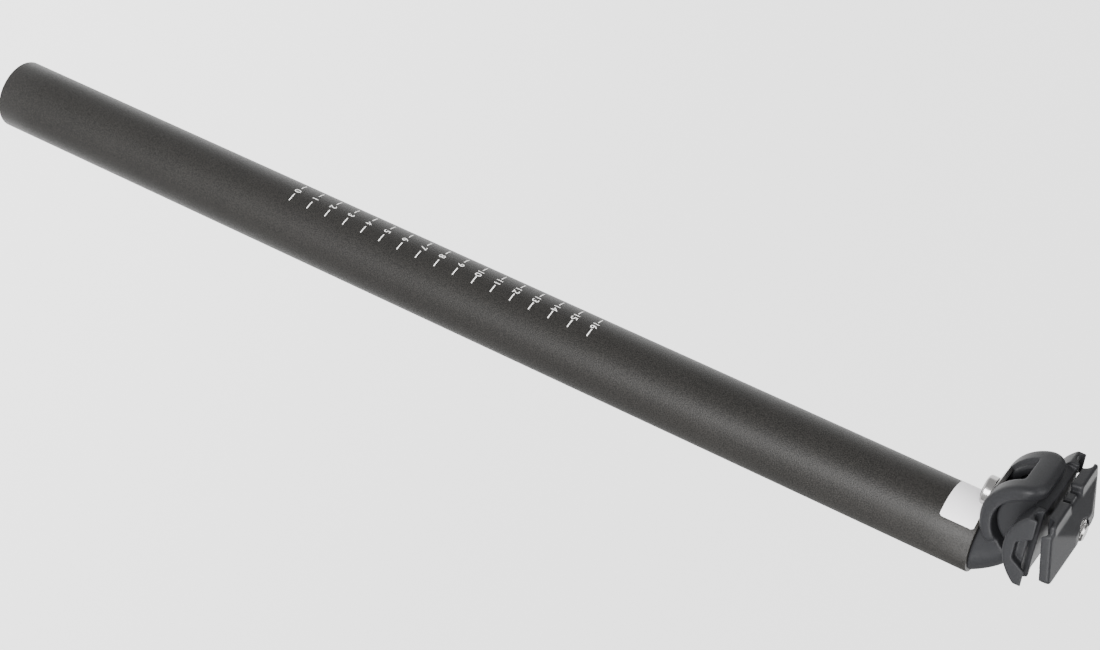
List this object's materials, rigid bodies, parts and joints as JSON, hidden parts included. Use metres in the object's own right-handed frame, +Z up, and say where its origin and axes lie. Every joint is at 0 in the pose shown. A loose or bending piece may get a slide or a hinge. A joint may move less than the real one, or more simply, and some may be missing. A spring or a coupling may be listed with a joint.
{
  "type": "bicycle seatpost",
  "caption": "Straight bicycle seatpost tube with a setback cradle, a tilting two-piece rail clamp and one clamp bolt, held loose.",
  "frame": {"origin": "centre of the tube's open lower end", "axes": "+Z up the tube to the head, +X to the front of the bicycle, +Y to its left; the head's cradle is set back towards -X"},
  "size_m": [0.063, 0.0515, 0.5684],
  "materials": {
    "anodised_tube": "fine blasted, dark anodised",
    "black_forging": "satin black anodised forging",
    "bright_steel": "bright zinc-plated steel"
  },
  "bodies": {
    "post": {"post_tube": "anodised_tube", "clamp_head": "black_forging"},
    "saddle_clamp": {"lower_rail_clamp": "black_forging", "upper_rail_clamp": "black_forging", "curved_washer": "bright_steel", "clamp_bolt": "bright_steel", "threaded_insert": "bright_steel"}
  },
  "joints": [
    {"name": "saddle_tilt", "type": "hinge", "parent": "post", "child": "saddle_clamp", "pos_m": [-0.024, 0, 0.5498], "axis": [0, 1, 0], "range_deg": [-1, 28]}
  ]
}
